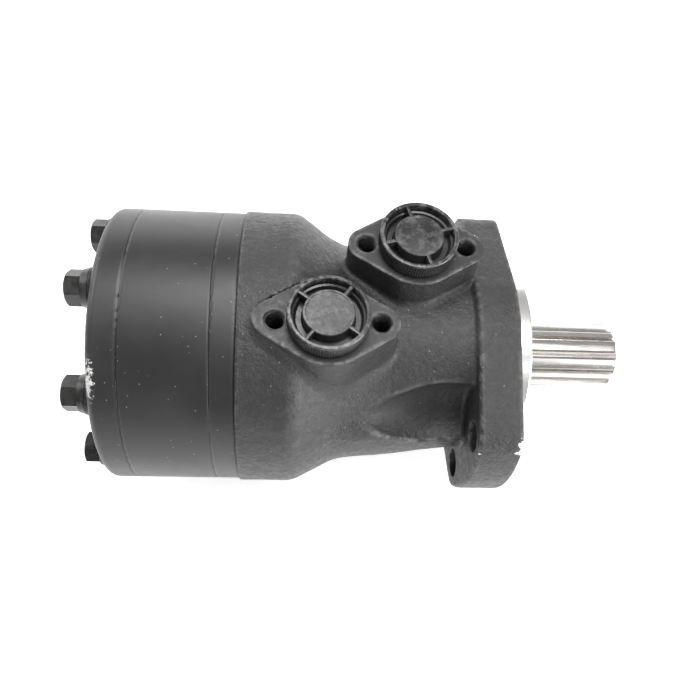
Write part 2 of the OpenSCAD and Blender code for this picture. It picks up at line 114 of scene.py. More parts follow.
# the rest of the design, in the same frame
FLANGE_T = 18.2
FLANGE_HALF_H = 46.0
FLANGE_SLOPE = math.radians(17.3)
CONE_REAR = -94.3
NECK_TOP_R = 44.0
INSIDE_DRUM = -86.0
NECK_R = 41.8
SHOULDER_R = 49.4
SHOULDER_FRONT = -61.5
WEB_LOW, WEB_TOP = -26.0, 17.0
SCOOP_R = 18.5
SCOOP_END_R = 4.0
SCOOP_PCR = 53.0
SCOOP_ANGLE = math.radians(27.2)
SCOOP_TURN = -28.0
SCOOP_END = -69.0
PAD_R = 18.5
PAD_END_R = 7.6
PAD_FOOT = 25.0
RUN_FIT = 0.05
BORE_R = SPOOL_R + RUN_FIT
POCKET_R = 25.0
POCKET_REAR = -10.6
JOURNAL_R = 17.5
BEARING_FRONT = -18.5
BEARING_T = 5.05
PORT_THREAD_R = 11.3
PORT_DEPTH = 19.0
PORT_DRILL_R = 6.5
PORT_FLOOR = 15.0
GROOVE_R = 30.0
GROOVE_HALF = 7.0
SCREW_DEPTH = 16.0
BOLTS = 7
BOLT_PCR = 48.5
TAPPED_R, TAPPED_DEPTH = 4.1, 18.0
CHANNEL_PCR, CHANNEL_R = 37.0, 2.8
DRAIN_SPOT_R, DRAIN_HOLE_R = 10.5, 6.2
SECTION_HOLE_R = 4.5
PLATE_BORE_R = 18.1
GEAR_BORE_R = 38.3
ROLLER_PCR, ROLLER_POCKET_R = 38.5, 7.85
PAST = 5.0

# slopes of the casting, in degrees
CONE_TOP_SLOPE, CONE_SIDE_SLOPE, SHOULDER_SLOPE = 35.0, 28.4, 13.6

# edge radii and fillets of the casting
DRUM_EDGE, CONE_EDGE, NECK_FILLET = 0.5, 1.6, 9.0
SHOULDER_EDGE, SHOULDER_FILLET, STEP_FILLET = 5.0, 20.0, 3.0
WEB_EDGE, WEB_FILLET, SCOOP_EDGE = 7.0, 6.0, 1.4
PAD_EDGE, PAD_FILLET = 0.45, 3.5
FLANGE_CORNER, FLANGE_FILLET = 3.5, 2.4
FLANGE_REAR_EDGE, FLANGE_FRONT_EDGE = 1.6, 0.6
PILOT_EDGE, PILOT_FILLET = 0.7, 0.3
MACHINED_EDGE = 0.25

# chipped spots and their sizes: flange front corner, flange rear corner, rim of a port pad
CHIPS = (((0.0, -57.0, 28.5), 4.6), ((-FLANGE_T, -60.3, 26.0), 2.2), ((-20.2, 25.0, PORT_Z), 2.0))


# ---------- distance fields ----------

def blend_union(a, b, r):
    """Both solids, with a fillet of radius r where they meet."""
    return np.maximum(r, np.minimum(a, b)) - np.hypot(np.maximum(r - a, 0), np.maximum(r - b, 0))


def blend_both(a, b, r):
    """What both solids share, with its edge rounded to radius r."""
    return np.minimum(-r, np.maximum(a, b)) + np.hypot(np.maximum(r + a, 0), np.maximum(r + b, 0))


def blend_cut(a, b, r):
    """Solid a without solid b, with the new edge rounded to radius r."""
    return blend_both(a, -b, r)


def slope_line(u, v, u0, v0, degrees):
    """Signed distance above a line that falls from (u0, v0) by an angle."""
    a = math.radians(degrees)
    return (v - v0) * math.cos(a) + (u - u0) * math.sin(a)


def sector(y, z, count, start=0.0):
    """Turns points about X into one of count equal sectors, whose middle then lies on +Z."""
    step = TAU / count
    angle = (np.arctan2(-y, z) - start + step / 2) % step - step / 2
    radius = np.hypot(y, z)
    return radius * np.sin(angle), radius * np.cos(angle)


def bar(x, rho, x0, x1, r, edge=0.0):
    """A round bar along x from x0 to x1, rho away from its axis."""
    return blend_both(rho - r, np.abs(x - (x0 + x1) / 2) - (x1 - x0) / 2, edge)


def pad_outline(x, y, centre):
    """Distance from a port pad's outline: a big circle that runs into a small one at each end."""
    along, across = np.abs(x - centre[0]), np.abs(y - centre[1])
    b = (PAD_R - PAD_END_R) / PAD_HALF
    a = math.sqrt(1 - b * b)
    k = a * along - b * across
    side = a * across + b * along - PAD_R
    return np.where(k < 0, np.hypot(along, across) - PAD_R,
                    np.where(k > a * PAD_HALF, np.hypot(along - PAD_HALF, across) - PAD_END_R, side))


def casting(x, y, z):
    """The housing as cast: drum, cone, neck with side webs and wrench reliefs, port pads and flange."""
    rho = np.hypot(y, z)
    drum = blend_both(rho - DRUM_R, HOUSING_REAR - x, DRUM_EDGE)
    core = blend_both(drum, slope_line(x, rho, CONE_REAR, DRUM_R, CONE_TOP_SLOPE), CONE_EDGE)
    core = blend_union(core, np.maximum(rho - NECK_TOP_R, INSIDE_DRUM - x), NECK_FILLET)
    fall = slope_line(x, rho, SHOULDER_FRONT, SHOULDER_R, SHOULDER_SLOPE)
    taper = blend_both(rho - SHOULDER_R, fall, SHOULDER_EDGE)
    taper = blend_union(taper, rho - NECK_R, SHOULDER_FILLET)
    turned = blend_both(drum, slope_line(x, rho, CONE_REAR, DRUM_R, CONE_SIDE_SLOPE), CONE_EDGE)
    turned = blend_union(turned, np.maximum(taper, INSIDE_DRUM - x), STEP_FILLET)
    web = blend_both(turned, np.maximum(z - WEB_TOP, WEB_LOW - z), WEB_EDGE)
    body = np.maximum(blend_union(core, web, WEB_FILLET), turned)
    for side in (-1, 1):
        for tilt in (-SCOOP_ANGLE, SCOOP_ANGLE):
            off_y = y - side * SCOOP_PCR * math.cos(tilt)
            off_z = z - SCOOP_PCR * math.sin(tilt)
            climb = np.clip((x - SCOOP_END) / (SCOOP_TURN - SCOOP_END), 0, 1)
            radius = SCOOP_END_R + (SCOOP_R - SCOOP_END_R) * np.sin(climb * math.pi / 2)
            scoop = np.maximum((np.hypot(off_y, off_z) - radius) * 0.93, SCOOP_END - x)
            body = blend_cut(body, scoop, SCOOP_EDGE)
    pads = np.full_like(rho, np.inf)
    for centre in (PORT_A, PORT_B):
        pad = np.maximum(pad_outline(x, y, centre), PAD_FOOT - z)
        pads = np.minimum(pads, blend_both(pad, z - PORT_Z, PAD_EDGE))
    body = np.minimum(body, np.maximum(blend_union(body, pads, PAD_FILLET), z - PORT_Z))
    ay, az = np.abs(y), np.abs(z)
    tangent = ay * math.cos(FLANGE_SLOPE) - az * math.sin(FLANGE_SLOPE)
    slope = ay * math.sin(FLANGE_SLOPE) + az * math.cos(FLANGE_SLOPE)
    sides = np.where(tangent < 0, rho, slope) - FLANGE_HALF_H
    outline = blend_both(sides, rho - FLANGE_END_R, FLANGE_CORNER)
    flange = blend_both(outline, -FLANGE_T - x, FLANGE_REAR_EDGE)
    flange = blend_both(flange, x, FLANGE_FRONT_EDGE)
    body = np.maximum(body, x + FLANGE_T / 2)
    return blend_union(body, flange, FLANGE_FILLET)


def housing_cuts(x, y, z):
    """Everything that is machined out of the casting, as one solid to take away."""
    rho = np.hypot(y, z)
    cut = bar(x, rho, HOUSING_REAR - PAST, BEARING_FRONT, BORE_R)
    cut = np.minimum(cut, bar(x, rho, BEARING_FRONT - 2, POCKET_REAR + 2, JOURNAL_R + RUN_FIT))
    cut = np.minimum(cut, bar(x, rho, POCKET_REAR, PILOT_END + PAST, POCKET_R))
    cut = np.minimum(cut, rho - POCKET_R + (PILOT_END - 0.6 - x))
    for centre in (PORT_A, PORT_B):
        groove = bar(x, rho, centre[0] - GROOVE_HALF, centre[0] + GROOVE_HALF, GROOVE_R, 1.5)
        cut = np.minimum(cut, groove)
        port = np.hypot(x - centre[0], y - centre[1])
        cut = np.minimum(cut, bar(z, port, PORT_Z - PORT_DEPTH, PORT_Z + PAST, PORT_THREAD_R))
        cut = np.minimum(cut, bar(z, port, PORT_FLOOR, PORT_Z, PORT_DRILL_R))
        for side in (-1, 1):
            screw = np.hypot(x - centre[0] - side * PAD_HALF, y - centre[1])
            hole = bar(z, screw, PORT_Z - SCREW_DEPTH, PORT_Z + PAST, SCREW_CORE_R + 0.45)
            cut = np.minimum(cut, hole)
            cut = np.minimum(cut, (screw - SCREW_CORE_R - 1.2 + PORT_Z - z) * 0.7)
        crown = blend_both(pad_outline(x, y, centre) - 1.5, PORT_Z - z, 0.2)
        cut = np.minimum(cut, crown)
    mount = np.hypot(np.abs(y) - MOUNT_Y, np.abs(z) - MOUNT_Z)
    cut = np.minimum(cut, bar(x, mount, -FLANGE_T - 2, PAST, MOUNT_HOLE_R))
    cut = np.minimum(cut, np.maximum(mount - MOUNT_HOLE_R - 0.5 - x, -1 - x) * 0.7)
    drain = np.hypot(x - DRAIN_X, y)
    cut = np.minimum(cut, bar(z, drain, DRAIN_FACE - 15, DRAIN_FACE, DRAIN_SPOT_R, 0.6))
    cut = np.minimum(cut, bar(z, drain, DRAIN_FACE - PAST, DRAIN_FACE + 11, DRAIN_HOLE_R))
    side_way, out_way = sector(y, z, BOLTS)
    bolt = np.hypot(side_way, out_way - BOLT_PCR)
    cut = np.minimum(cut, bar(x, bolt, HOUSING_REAR - PAST, HOUSING_REAR + TAPPED_DEPTH, TAPPED_R))
    channel = np.hypot(side_way, out_way - CHANNEL_PCR)
    return np.minimum(cut, bar(x, channel, HOUSING_REAR - PAST, (PORT_A[0] + PORT_B[0]) / 2, CHANNEL_R))


def pilot_solid(x, rho):
    return blend_both(np.maximum(rho - PILOT_R, -1 - x), x - PILOT_END, PILOT_EDGE)


def housing_field(x, y, z):
    rho = np.hypot(y, z)
    solid = blend_union(casting(x, y, z), pilot_solid(x, rho), PILOT_FILLET)
    return blend_cut(solid, housing_cuts(x, y, z), MACHINED_EDGE)


def ring_field(x0, x1, cuts, edge):
    """Field of a disc along X with holes, whose outer edges are broken by edge."""
    def field(x, y, z):
        rho = np.hypot(y, z)
        solid = blend_both(rho - SECTION_R, np.abs(x - (x0 + x1) / 2) - (x1 - x0) / 2, edge)
        return blend_cut(solid, cuts(x, y, z, rho), 0.3)
    return field


def section_bolt_holes(x, y, z, rho):
    side_way, out_way = sector(y, z, BOLTS)
    return np.hypot(side_way, out_way - BOLT_PCR) - SECTION_HOLE_R


def plate_cuts(x, y, z, rho):
    side_way, out_way = sector(y, z, BOLTS)
    channel = np.hypot(side_way, out_way - CHANNEL_PCR) - CHANNEL_R
    cut = np.minimum(section_bolt_holes(x, y, z, rho), channel)
    return np.minimum(cut, rho - PLATE_BORE_R)


def ring_gear_cuts(x, y, z, rho):
    side_way, out_way = sector(y, z, BOLTS, TAU / BOLTS / 2)
    pocket = np.hypot(side_way, out_way - ROLLER_PCR) - ROLLER_POCKET_R
    return np.minimum(np.minimum(section_bolt_holes(x, y, z, rho), pocket), rho - GEAR_BORE_R)


def cap_field(x, y, z):
    rho = np.hypot(y, z)
    solid = blend_both(rho - SECTION_R, CAP_REAR - x, 3.5)
    solid = blend_both(solid, x - RING_REAR, 0.35)
    return blend_cut(solid, section_bolt_holes(x, y, z, rho), 0.4)


# ---------- smooth noise on a repeating lattice ----------

LATTICE_SIDE = 32
LATTICE = RNG.random((LATTICE_SIDE,) * 3)


def noise(points, size):
    """Smooth noise from -1 to 1 with bumps about size across."""
    scaled = points / size
    low = np.floor(scaled).astype(int)
    part = scaled - low
    part = part * part * (3 - 2 * part)
    total = np.zeros(len(points))
    for corner in itertools.product((0, 1), repeat=3):
        at = (low + corner) % LATTICE_SIDE
        weight = np.prod(np.where(corner, part, 1 - part), axis=1)
        total += weight * LATTICE[at[:, 0], at[:, 1], at[:, 2]]
    return 2 * total - 1


def cast_relief(points):
    """Height of the sand-cast skin's unevenness."""
    return 0.16 * noise(points, 9.0) + 0.09 * noise(points + 50, 3.6) + 0.05 * noise(points + 90, 1.9)


# ---------- meshing a distance field ----------

def gradient(function, points, step=0.04):
    """Unit gradient of a function of points, from the corners of a small tetrahedron."""
    total = np.zeros_like(points)
    for corner in ((1, 1, 1), (1, -1, -1), (-1, 1, -1), (-1, -1, 1)):
        offset = np.array(corner, float)
        total += offset * function(points + offset * step)[:, None]
    return total / np.maximum(np.linalg.norm(total, axis=1), 1e-9)[:, None]


def contour(field, low, high, cell):
    """Dual contouring: one vertex in each cell that the surface crosses, where its tangent planes meet.

    Returns the vertices and the quads, with outward faces.
    """
    def at(points):
        return field(points[:, 0], points[:, 1], points[:, 2])

    slab, halvings, pull = 24, 7, 0.06
    low = np.array(low, float) - 1.37 * cell
    counts = np.ceil((np.array(high, float) + 1.5 * cell - low) / cell).astype(int) + 1
    axes = [low[k] + cell * np.arange(counts[k]) for k in range(3)]
    values = np.empty(counts, np.float32)
    for i in range(0, counts[0], slab):
        x, y, z = np.meshgrid(axes[0][i:i + slab], axes[1], axes[2], indexing="ij")
        values[i:i + slab] = field(x, y, z)
    inside = values < 0
    flat_step = np.array([counts[1] * counts[2], counts[2], 1])
    places, normals, cells, flips = [], [], [], []
    for axis in range(3):
        ahead = np.roll(inside, -1, axis=axis)
        crossing = inside != ahead
        crossing[tuple(slice(-1, None) if k == axis else slice(None) for k in range(3))] = False
        index = np.argwhere(crossing)
        start = low + index * cell
        end = start.copy()
        end[:, axis] += cell
        start_in = inside[crossing]
        near, far = np.where(start_in[:, None], start, end), np.where(start_in[:, None], end, start)
        for _ in range(halvings):
            middle = (near + far) / 2
            within = (at(middle) < 0)[:, None]
            near, far = np.where(within, middle, near), np.where(within, far, middle)
        point = (near + far) / 2
        places.append(point)
        normals.append(gradient(at, point))
        b, c = (axis + 1) % 3, (axis + 2) % 3
        home = index @ flat_step
        cells.append(np.stack([home, home - flat_step[b], home - flat_step[b] - flat_step[c],
                               home - flat_step[c]], axis=1))
        flips.append(~start_in)
    places, normals = np.concatenate(places), np.concatenate(normals)
    cells, flips = np.concatenate(cells), np.concatenate(flips)
    used, quads = np.unique(cells.ravel(), return_inverse=True)
    quads = quads.reshape(-1, 4)

    def gather(values_per_edge):
        return np.bincount(quads.ravel(), np.repeat(values_per_edge, 4), len(used))

    count = np.bincount(quads.ravel(), minlength=len(used))
    mass = np.stack([gather(places[:, k]) for k in range(3)], axis=1) / count[:, None]
    offset = np.einsum("ij,ij->i", normals, places)
    matrix = np.empty((len(used), 3, 3))
    for i in range(3):
        for j in range(i, 3):
            matrix[:, i, j] = matrix[:, j, i] = gather(normals[:, i] * normals[:, j])
    target = np.stack([gather(normals[:, k] * offset) for k in range(3)], axis=1)
    matrix += pull * np.eye(3)
    target += pull * mass
    vertices = np.linalg.solve(matrix, target[:, :, None])[:, :, 0]
    corner = np.stack(np.unravel_index(used, counts), axis=1) * cell + low
    vertices = np.clip(vertices, corner, corner + cell)
    quads[flips] = quads[flips][:, ::-1]
    return vertices, quads


def make_object(name, vertices, faces, material):
    """Makes an object from millimetre vertices, with smooth shading."""
    mesh = bpy.data.meshes.new(name)
    mesh.from_pydata((np.asarray(vertices) * MM).tolist(), [], [list(map(int, face)) for face in faces])
    mesh.polygons.foreach_set("use_smooth", np.ones(len(mesh.polygons), bool))
    mesh.materials.append(material)
    mesh.update()
    piece = bpy.data.objects.new(name, mesh)
    bpy.context.scene.collection.objects.link(piece)
    return piece


def add_attribute(piece, name, values):
    layer = piece.data.attributes.new(name, "FLOAT", "POINT")
    layer.data.foreach_set("value", np.asarray(values, np.float32))


def field_object(name, field, low, high, cell, material, skin=None, relief=None):
    """A piece meshed from a field. Its corner normals come from the field, so edges stay crisp.

    relief gives how far each point stands out of the field's surface, and skin where it applies.
    """
    vertices, quads = contour(field, low, high, cell * COARSE)

    def shape(points):
        height = field(points[:, 0], points[:, 1], points[:, 2])
        if relief:
            height = height - relief(points) * skin(points)
        return height

    sides = vertices[quads]
    inner = sides + 0.3 * (sides.mean(axis=1, keepdims=True) - sides)
    corner_normals = gradient(shape, inner.reshape(-1, 3), 0.08)
    if relief:
        smooth = gradient(lambda points: field(points[:, 0], points[:, 1], points[:, 2]), vertices, 0.3)
        moved = vertices + smooth * (relief(vertices) * skin(vertices))[:, None]
    else:
        moved = vertices
    moved = np.clip(moved, *(np.array(corner) / MM for corner in cad_bounds))
    piece = make_object(name, moved, quads, material)
    piece.data.normals_split_custom_set(corner_normals.tolist())
    return piece, vertices


def edge_wear(field, points, reach=1.1):
    """0 on flat and hollow places, towards 1 on outside edges."""
    def at(place):
        return field(place[:, 0], place[:, 1], place[:, 2])
    normal = gradient(at, points)
    helper = np.where(np.abs(normal[:, :1]) < 0.8, [[1.0, 0, 0]], [[0, 1.0, 0]])
    first = np.cross(normal, helper)
    first /= np.linalg.norm(first, axis=1)[:, None]
    second = np.cross(normal, first)
    lift = sum(at(points + sign * reach * way) for way in (first, second) for sign in (-1, 1)) / 4
    return np.clip(lift / (0.3 * reach), 0, 1)


# ---------- round pieces lofted along an axis ----------

def loft(rings, segments, radius):
    """A closed skin through rings of (axial place, nominal radius, tag).

    radius(place, nominal, tag, angles) gives each ring's true radii. The first and last rings are closed.
    """
    angles = np.arange(segments) * TAU / segments
    vertices, faces = [], []
    for place, nominal, tag in rings:
        r = radius(place, nominal, tag, angles) * np.ones(segments)
        vertices.append(np.stack([np.full(segments, place), r * np.cos(angles), r * np.sin(angles)], axis=1))
    for ring in range(len(rings) - 1):
        here, there = ring * segments, (ring + 1) * segments
        for k in range(segments):
            after = (k + 1) % segments
            faces.append((here + k, there + k, there + after, here + after))
    faces.append(tuple(range(segments)))
    last = (len(rings) - 1) * segments
    faces.append(tuple(range(last + segments - 1, last - 1, -1)))
    return np.concatenate(vertices), faces


def open_tube(faces, ring_count, segments):
    """Faces of a loft whose last ring joins its first, in place of the two end faces."""
    last = (ring_count - 1) * segments
    after = [(k + 1) % segments for k in range(segments)]
    return faces[:-2] + [(last + k, k, after[k], last + after[k]) for k in range(segments)]


def plain(place, nominal, tag, angles):
    return nominal


def shade_by_angle(piece, degrees=32):
    piece.data.set_sharp_from_angle(angle=math.radians(degrees))
    return piece


def join(name, parts, material):
    """One object from several (vertices, faces) skins."""
    vertices, faces, base = [], [], 0
    for part_vertices, part_faces in parts:
        vertices.append(part_vertices)
        faces += [tuple(base + i for i in face) for face in part_faces]
        base += len(part_vertices)
    return make_object(name, np.concatenate(vertices), faces, material)


def stand_up(skin, centre):
    """Turns a skin lofted along X so that its axis is +Z through centre."""
    vertices, faces = skin
    turned = np.stack([vertices[:, 1], vertices[:, 2], vertices[:, 0]], axis=1)
    return turned + np.asarray(centre), faces


def turn_about_x(vertices, angle):
    y, z = vertices[:, 1], vertices[:, 2]
    return np.stack([vertices[:, 0], y * math.cos(angle) - z * math.sin(angle),
                     y * math.sin(angle) + z * math.cos(angle)], axis=1)


# ---------- materials ----------

class Shader:
    """A material's node graph, built call by call."""

    def __init__(self, name):
        self.material = bpy.data.materials.new(name)
        self.material.use_nodes = True
        self.tree = self.material.node_tree
        self.surface = self.tree.nodes["Principled BSDF"]
        self.place = self.add("TexCoord").outputs["Object"]

    def add(self, kind, settings=None, **inputs):
        node = self.tree.nodes.new("ShaderNode" + kind)
        for key, value in (settings or {}).items():
            setattr(node, key, value)
        for key, value in inputs.items():
            self.put(node, key.replace("_", " "), value)
        return node

    def put(self, node, key, value):
        """Sets or links an input by its name, or by its number as i0, i1 and so on."""
        socket = node.inputs[int(key[1:])] if key[0] == "i" and key[1:].isdigit() else node.inputs[key]
        if isinstance(value, bpy.types.NodeSocket):
            self.tree.links.new(value, socket)
        else:
            socket.default_value = value

    def stretch(self, x, y, z):
        return self.add("Mapping", Vector=self.place, Scale=(x, y, z)).outputs["Vector"]

    def grain(self, size_mm, detail=3.0, rough=0.55, place=None):
        """Noise with bumps about size_mm across."""
        node = self.add("TexNoise", Vector=place or self.place, Scale=0.6 / (size_mm * MM),
                        Detail=detail, Roughness=rough)
        return node.outputs["Fac"]

    def ramp(self, value, low, high, out_low=0.0, out_high=1.0):
        node = self.add("MapRange", {"interpolation_type": "SMOOTHSTEP"}, Value=value)
        for key, number in (("From Min", low), ("From Max", high), ("To Min", out_low), ("To Max", out_high)):
            node.inputs[key].default_value = number
        return node.outputs["Result"]

    def math(self, operation, a, b):
        return self.add("Math", {"operation": operation}, i0=a, i1=b).outputs[0]

    def mix(self, amount, a, b):
        node = self.add("Mix", {"data_type": "RGBA"})
        for socket, value in ((node.inputs[0], amount), (node.inputs[6], a), (node.inputs[7], b)):
            if isinstance(value, bpy.types.NodeSocket):
                self.tree.links.new(value, socket)
            else:
                socket.default_value = value
        return node.outputs[2]

    def attribute(self, name):
        return self.add("Attribute", {"attribute_name": name}).outputs["Fac"]

    def specks(self, spacing_mm, radius_mm, chance):
        """Round specks, about one in each spacing_mm cell, for a share of the cells."""
        node = self.add("TexVoronoi", Vector=self.place, Scale=1 / (spacing_mm * MM))
        dot = self.ramp(node.outputs["Distance"], radius_mm / spacing_mm, 0.6 * radius_mm / spacing_mm)
        pick = self.add("SeparateColor", Color=node.outputs["Color"]).outputs[0]
        return self.math("MULTIPLY", dot, self.ramp(pick, chance, chance - 0.02))

    def bump(self, height, distance_mm, strength=1.0, under=None):
        node = self.add("Bump", Height=height, Strength=strength, Distance=distance_mm * MM)
        if under:
            self.put(node, "Normal", under)
        return node.outputs["Normal"]

    def finish(self, **inputs):
        for key, value in inputs.items():
            self.put(self.surface, key.replace("_", " "), value)
        return self.material


def grey(value, warm=0.0):
    return (value * (1 + warm), value, value * (1 - warm), 1)


def painted_seam_shade(s, tone, half_mm=0.65):
    """Painted shade: darkens the colour in thin lines at the joints between the turned sections, where shade
    falls in the gaps.
    """
    along = s.add("SeparateXYZ", Vector=s.place).outputs["X"]
    for seam in (RING_REAR, PLATE_REAR, HOUSING_REAR):
        off = s.math("ABSOLUTE", s.math("SUBTRACT", along, seam * MM), 0.0)
        tone = s.mix(s.ramp(off, half_mm * MM, 0.5 * half_mm * MM), tone, grey(0.002))
    return tone


def cast_paint():
    """Semi-gloss black paint over a sand-cast skin; bare metal where edges are chipped."""
    s = Shader("cast_paint")
    skin = s.attribute("cast")
    worn = s.attribute("wear")
    tone = s.mix(s.ramp(s.grain(16, 4), 0.35, 0.65), grey(0.010), grey(0.016, 0.01))
    tone = s.mix(s.math("MULTIPLY", s.ramp(s.grain(0.9, 2), 0.62, 0.74), 0.35), tone, grey(0.035))
    tone = s.mix(s.specks(2.8, 0.26, 0.22), tone, grey(0.24, 0.02))
    tone = s.mix(s.math("MULTIPLY", worn, s.ramp(s.grain(2.5, 4), 0.4, 0.65, 0.1, 0.8)), tone, grey(0.13))
    patch = s.math("ADD", s.attribute("chips"), s.ramp(s.grain(2.2, 5, 0.7), 0.3, 0.7, -0.35, 0.35))
    chip = s.ramp(patch, 0.66, 0.72)
    bare = s.math("MAXIMUM", s.attribute("bare"), chip)
    # painted shade along the joint where the housing meets the distributor plate
    tone = painted_seam_shade(s, tone)
    tone = s.mix(bare, tone, grey(0.76, 0.015))
    rough = s.ramp(s.grain(1.4, 3), 0.3, 0.7, 0.40, 0.54)
    rough = s.mix(bare, rough, grey(0.24))
    normal = s.bump(s.math("MULTIPLY", s.grain(1.1, 4, 0.65), skin), 0.50, 0.95)
    normal = s.bump(s.math("MULTIPLY", s.grain(0.45, 3, 0.6), skin), 0.20, 0.95, normal)
    normal = s.bump(s.grain(0.35, 2), 0.012, 0.5, normal)
    return s.finish(Base_Color=tone, Roughness=rough, Metallic=bare, Normal=normal)


def section_paint():
    """Semi-gloss black paint over turned steel: smooth, with faint haze, dust and rubbed edges."""
    s = Shader("section_paint")
    worn = s.attribute("wear")
    haze = s.grain(22, 4, 0.6)
    tone = s.mix(s.ramp(haze, 0.3, 0.7), grey(0.009), grey(0.014))
    tone = s.mix(s.specks(2.6, 0.26, 0.30), tone, grey(0.22, 0.02))
    tone = s.mix(s.math("MULTIPLY", worn, 0.12), tone, grey(0.10))
    patch = s.math("ADD", s.attribute("scuff"), s.ramp(s.grain(1.0, 5, 0.8), 0.3, 0.7, -0.5, 0.5))
    scuff = s.ramp(patch, 0.78, 0.88)
    # painted shade in the joints between the sections, over the scuffed tone
    tone = painted_seam_shade(s, s.mix(scuff, tone, grey(0.5, 0.01)))
    rough = s.ramp(haze, 0.3, 0.7, 0.38, 0.48)
    turned = s.grain(0.5, 2, 0.5, s.stretch(1, 0.03, 0.03))
    normal = s.bump(s.grain(2.2, 3), 0.05, 0.6)
    normal = s.bump(turned, 0.012, 0.5, normal)
    return s.finish(Base_Color=tone, Roughness=rough, Normal=normal)


def black_steel():
    """Black oxide on forged screw heads."""
    s = Shader("black_steel")
    tone = s.mix(s.ramp(s.grain(3, 4), 0.35, 0.65), grey(0.02), grey(0.04, 0.02))
    tone = s.mix(s.ramp(s.grain(0.8, 4, 0.7), 0.66, 0.74), tone, grey(0.20))
    rough = s.ramp(s.grain(1.5, 3), 0.3, 0.7, 0.26, 0.42)
    normal = s.bump(s.grain(0.8, 3), 0.05, 0.7)
    return s.finish(Base_Color=tone, Roughness=rough, Metallic=0.55, Normal=normal)


def bright_steel(name, level, rough_low, rough_high, along=(0.04, 1, 1), warm=0.02):
    """Ground or hobbed steel with fine marks along one direction; painted shade darkens the spline roots where
    a piece carries them.
    """
    s = Shader(name)
    marks = s.grain(0.35, 3, 0.6, s.stretch(*along))
    stain = s.grain(7, 4)
    tone = s.mix(s.ramp(stain, 0.3, 0.75), grey(level, warm), grey(level * 0.86, warm * 1.6))
    tone = s.mix(s.ramp(marks, 0.35, 0.8, 0.0, 0.35), tone, grey(level * 0.6, warm))
    tone = s.mix(s.specks(6.0, 0.25, 0.3), tone, grey(0.12, 0.03))
    # painted shade: darker, warmer colour in the spline roots, where the hollows between the teeth lie in
    # shade
    tone = s.mix(s.attribute("root"), tone, grey(level * 0.72, 0.06))
    rough = s.ramp(marks, 0.3, 0.7, rough_low, rough_high)
    return s.finish(Base_Color=tone, Roughness=rough, Metallic=1.0, Normal=s.bump(marks, 0.01, 0.7))


def rubber(name):
    s = Shader(name)
    tone = s.mix(s.ramp(s.grain(2.5, 3), 0.3, 0.7), grey(0.012), grey(0.024))
    rough = s.ramp(s.grain(1.2, 2), 0.3, 0.7, 0.45, 0.62)
    return s.finish(Base_Color=tone, Roughness=rough, Normal=s.bump(s.grain(0.4, 2), 0.02, 0.6))


def plug_plastic():
    """Moulded black plastic with rubbed rims and light scratches."""
    s = Shader("plug_plastic")
    worn = s.attribute("wear")
    flow = s.grain(9, 3, 0.5)
    tone = s.mix(s.ramp(flow, 0.35, 0.65), grey(0.012), grey(0.024))
    rub = s.math("MULTIPLY", worn, s.ramp(s.grain(1.6, 5, 0.7), 0.47, 0.62))
    tone = s.mix(s.math("MULTIPLY", rub, 0.6), tone, grey(0.16))
    mark = s.ramp(s.grain(4, 5, 0.7), 0.50, 0.75)
    tone = s.mix(s.math("MULTIPLY", mark, 0.3), tone, grey(0.05))
    rough = s.ramp(flow, 0.3, 0.7, 0.24, 0.40)
    normal = s.bump(s.grain(3.0, 3), 0.25, 0.6)
    normal = s.bump(s.grain(0.6, 3), 0.015, 0.5, normal)
    return s.finish(Base_Color=tone, Roughness=rough, Normal=normal)


def ptfe():
    s = Shader("ptfe")
    tone = s.mix(s.ramp(s.grain(4, 3), 0.3, 0.7), grey(0.80, 0.03), grey(0.68, 0.05))
    rough = s.ramp(s.grain(1.5, 2), 0.3, 0.7, 0.40, 0.55)
    return s.finish(Base_Color=tone, Roughness=rough, Normal=s.bump(s.grain(0.6, 2), 0.02, 0.5))


def brass():
    s = Shader("brass")
    stain = s.ramp(s.grain(5, 4), 0.3, 0.7)
    tone = s.mix(stain, (0.70, 0.43, 0.17, 1), (0.50, 0.29, 0.11, 1))
    marks = s.grain(0.4, 3, 0.6, s.stretch(1, 0.06, 0.06))
    rough = s.ramp(marks, 0.3, 0.7, 0.22, 0.36)
    return s.finish(Base_Color=tone, Roughness=rough, Metallic=1.0, Normal=s.bump(marks, 0.01, 0.6))


CAST_PAINT = cast_paint()
SECTION_PAINT = section_paint()
BLACK_STEEL = black_steel()
SHAFT_STEEL = bright_steel("shaft_steel", 0.58, 0.20, 0.30)
GEAR_STEEL = bright_steel("gear_steel", 0.62, 0.16, 0.28)
BEARING_STEEL = bright_steel("bearing_steel", 0.66, 0.10, 0.20, (1, 1, 1), 0.0)
SEAL_RUBBER = rubber("seal_rubber")
PLUG_PLASTIC = plug_plastic()
PTFE = ptfe()
BRASS = brass()


# ---------- pieces ----------

def place_piece(piece, body, slot, *nodes):
    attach(piece, body)
    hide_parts(*nodes)
    return piece


def thread_sleeve(centre, core_r, major_r, pitch, depth):
    """Female thread in a vertical hole: a thin tube whose inside runs in a helix."""
    segments = 40
    steps = int(depth / pitch * 8)
    rings = [(-depth + 0.3 + k * (depth - 1.4) / steps, core_r, "thread") for k in range(steps + 1)]
    outer = [(-1.1, major_r + 0.25, ""), (-depth + 0.3, major_r + 0.25, "")]

    def radius(place, nominal, tag, angles):
        if tag != "thread":
            return nominal
        wave = (place / pitch - angles / TAU) % 1
        return core_r + (major_r - core_r) * np.abs(2 * wave - 1)

    vertices, faces = loft(rings + outer, segments, radius)
    return stand_up((vertices, open_tube(faces, len(rings) + 2, segments)), centre)


